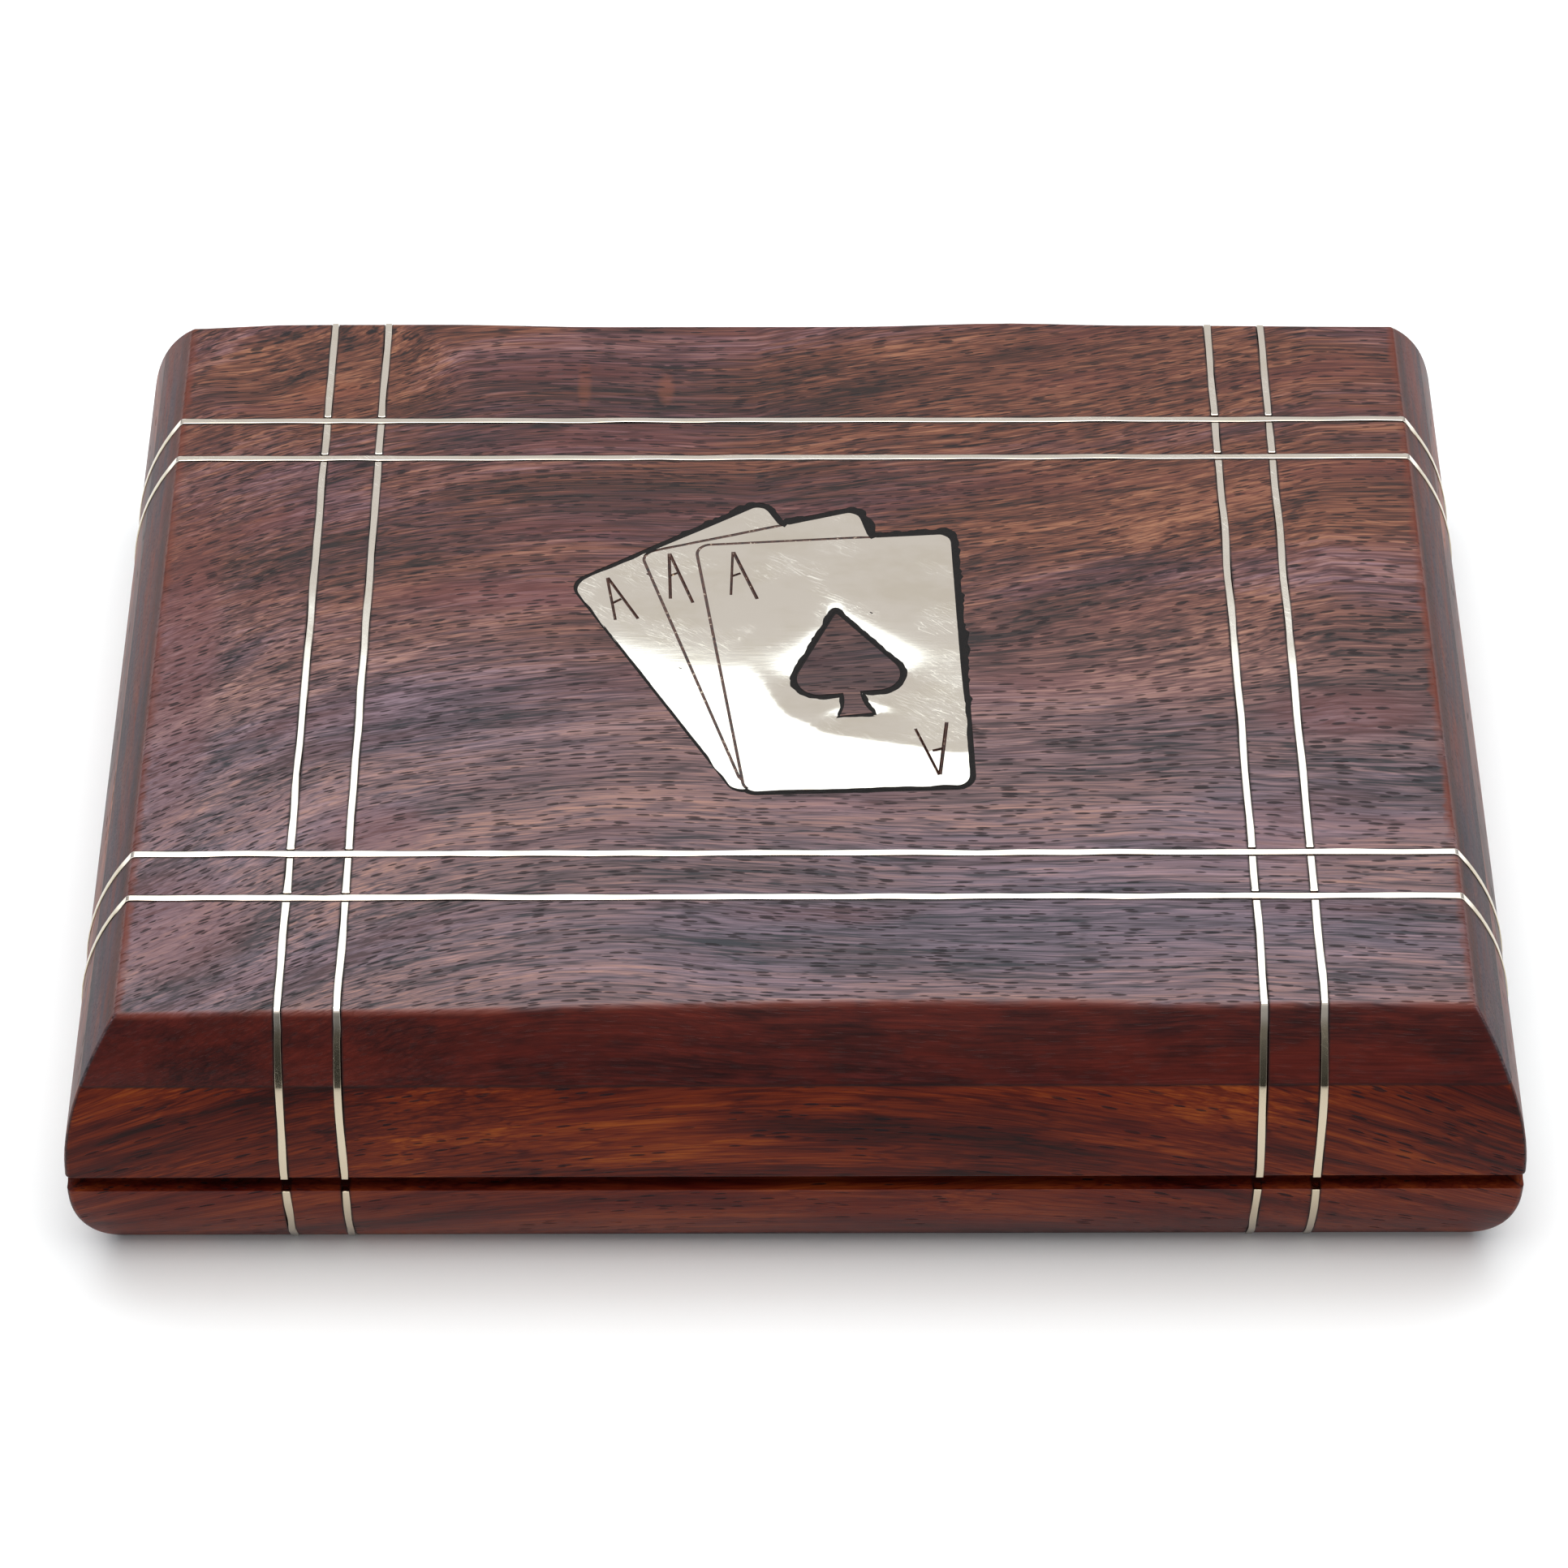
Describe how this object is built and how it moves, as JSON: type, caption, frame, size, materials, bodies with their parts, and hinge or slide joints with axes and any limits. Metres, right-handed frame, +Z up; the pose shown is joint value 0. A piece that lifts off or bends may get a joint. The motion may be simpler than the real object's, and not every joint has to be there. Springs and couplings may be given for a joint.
{
  "type": "playing card box",
  "caption": "Hinged wooden box for playing cards: curved sides, bevelled lid with crossing inlaid metal strips and an inlaid fan of aces, a finger groove in front and divided wells inside.",
  "frame": {"origin": "middle of the underside of the base, where the box rests", "axes": "+X across the box, along its longer side; +Y from the front, with the finger groove, to the hinges; +Z up"},
  "size_m": [0.1784, 0.1409, 0.0382],
  "materials": {
    "panel_wood": "satin",
    "rail_wood": "satin",
    "board_wood": "matte",
    "inlay_metal": "brushed",
    "hinge_brass": "satin",
    "screw_brass": "satin",
    "black_filler": "matte"
  },
  "bodies": {
    "base": {"base_bottom_board": "board_wood", "base_front_rail": "rail_wood", "base_back_rail": "rail_wood", "base_left_rail": "rail_wood", "base_right_rail": "rail_wood", "well_divider": "board_wood", "base_front_strips": "inlay_metal", "base_back_strips": "inlay_metal", "base_left_strips": "inlay_metal", "base_right_strips": "inlay_metal", "left_hinge_base_leaf": "hinge_brass", "right_hinge_base_leaf": "hinge_brass", "left_hinge_pin": "hinge_brass", "right_hinge_pin": "hinge_brass", "hinge_base_screws": "screw_brass"},
    "lid": {"lid_top_panel": "panel_wood", "lid_front_rail": "rail_wood", "lid_back_rail": "rail_wood", "lid_left_rail": "rail_wood", "lid_right_rail": "rail_wood", "lid_cross_strip_1": "inlay_metal", "lid_cross_strip_2": "inlay_metal", "lid_cross_strip_3": "inlay_metal", "lid_cross_strip_4": "inlay_metal", "lid_long_strip_1": "inlay_metal", "lid_long_strip_2": "inlay_metal", "lid_long_strip_3": "inlay_metal", "lid_long_strip_4": "inlay_metal", "ace_plate": "inlay_metal", "plate_filler": "black_filler", "left_hinge_lid_leaf": "hinge_brass", "right_hinge_lid_leaf": "hinge_brass", "hinge_lid_screws": "screw_brass"}
  },
  "joints": [
    {"name": "lid_hinge", "type": "hinge", "parent": "base", "child": "lid", "pos_m": [0, 0.069, 0.0161], "axis": [-1, 0, 0], "range_deg": [0, 98]}
  ]
}
